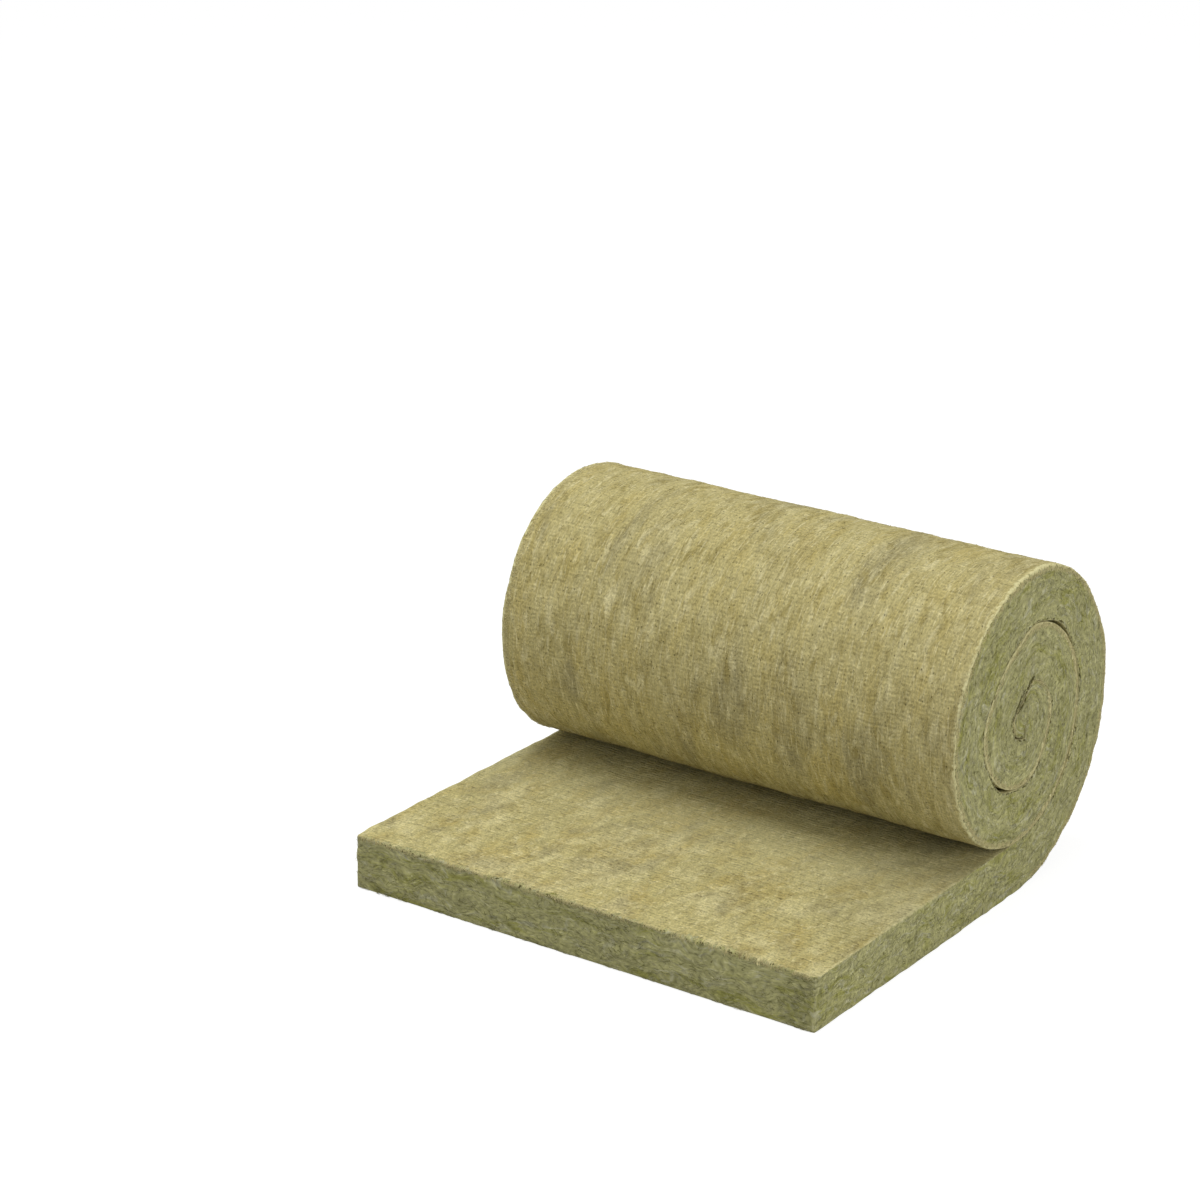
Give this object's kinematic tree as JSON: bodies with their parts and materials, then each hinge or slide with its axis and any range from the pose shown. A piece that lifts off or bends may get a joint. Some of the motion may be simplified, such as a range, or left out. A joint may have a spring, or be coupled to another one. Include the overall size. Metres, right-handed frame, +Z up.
{
  "type": "insulation roll",
  "caption": "Thick stone-wool insulation mat, rolled up from one end in an open spiral, with the other end laid out flat; it is cut to length and pressed between rafters or studs.",
  "frame": {"origin": "on the floor, under the middle of the object's bounding box", "axes": "+X along the roll's axis and across the mat's width, +Y from the laid-out cut end towards the roll, +Z up from the floor"},
  "size_m": [1, 1.0399, 0.64],
  "materials": {
    "stone_wool": "matt, fibrous stone wool, straw yellow on its faces and olive grey on its cut edges"
  },
  "bodies": {
    "root": {"stone_wool_mat": "stone_wool"}
  },
  "joints": []
}
